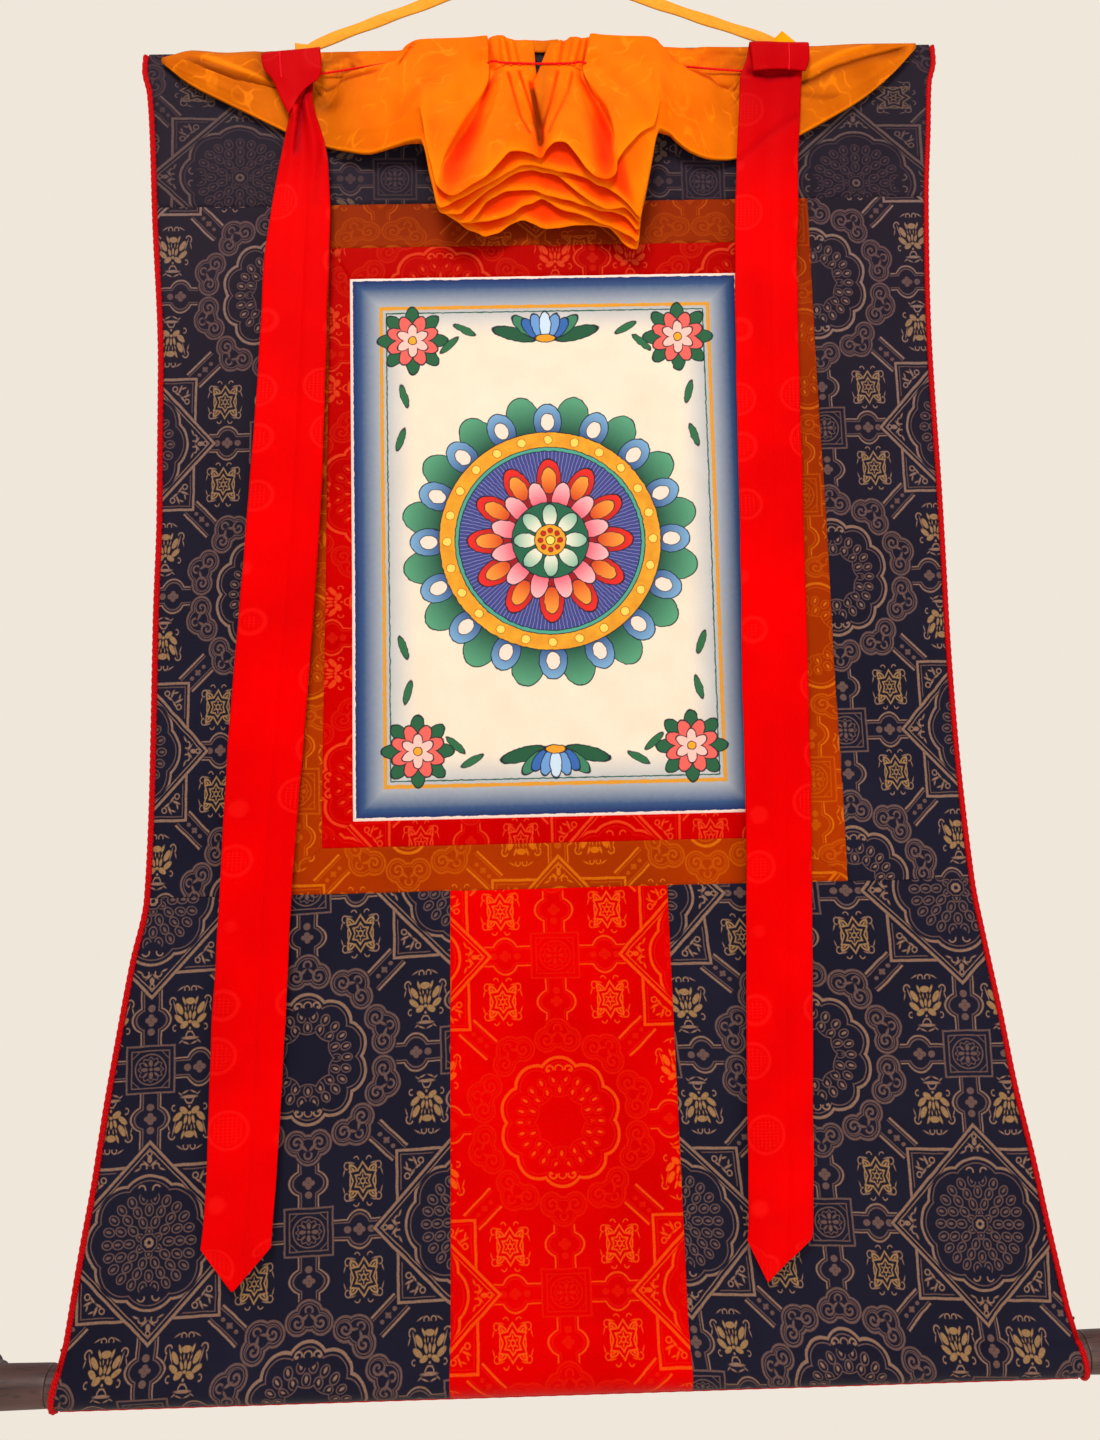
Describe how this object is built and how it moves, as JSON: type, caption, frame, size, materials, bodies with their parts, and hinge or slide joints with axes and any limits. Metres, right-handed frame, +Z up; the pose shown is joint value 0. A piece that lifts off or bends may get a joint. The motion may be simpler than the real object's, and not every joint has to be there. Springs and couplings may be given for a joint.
{
  "type": "thangka scroll painting with its bottom rod",
  "caption": "Hanging scroll: a painted canvas in brocade frames on a dark flared hanging, with a tied-up silk cover, ribbons, piped edges and a rod with turned ends in its foot.",
  "frame": {"origin": "the hanging point: the top of the hanging tape, halfway between its ends", "axes": "+Z up, +X to the right of someone looking at the picture, +Y into the wall"},
  "size_m": [0.8756, 0.0667, 1.09],
  "materials": {
    "painted_canvas": "matt painted cotton",
    "red_brocade": "woven brocade with a slight sheen",
    "orange_brocade": "woven brocade with a slight sheen",
    "navy_brocade": "woven brocade with a slight sheen",
    "door_brocade": "woven brocade with a slight sheen",
    "red_cord": "satin-covered cord",
    "plain_wood": "unfinished",
    "turned_wood": "turned and varnished",
    "orange_silk": "thin damask silk",
    "red_silk": "plain silk with a soft sheen",
    "orange_tape": "twisted flat tape"
  },
  "bodies": {
    "root": {"picture": "painted_canvas", "red_border_top": "red_brocade", "red_border_bottom": "red_brocade", "red_border_left": "red_brocade", "red_border_right": "red_brocade", "orange_border_top": "orange_brocade", "orange_border_bottom": "orange_brocade", "orange_border_left": "orange_brocade", "orange_border_right": "orange_brocade", "navy_top": "navy_brocade", "navy_side_left": "navy_brocade", "navy_side_right": "navy_brocade", "navy_skirt_left": "navy_brocade", "navy_skirt_right": "navy_brocade", "door": "door_brocade", "piping_left": "red_cord", "piping_right": "red_cord", "piping_bottom": "red_cord", "top_stick": "plain_wood", "bottom_rod": "turned_wood", "knob_left": "turned_wood", "knob_right": "turned_wood", "silk_cover": "orange_silk", "streamer_left": "red_silk", "streamer_right": "red_silk", "hanging_tape": "orange_tape", "tie_cord": "red_cord"}
  },
  "joints": []
}
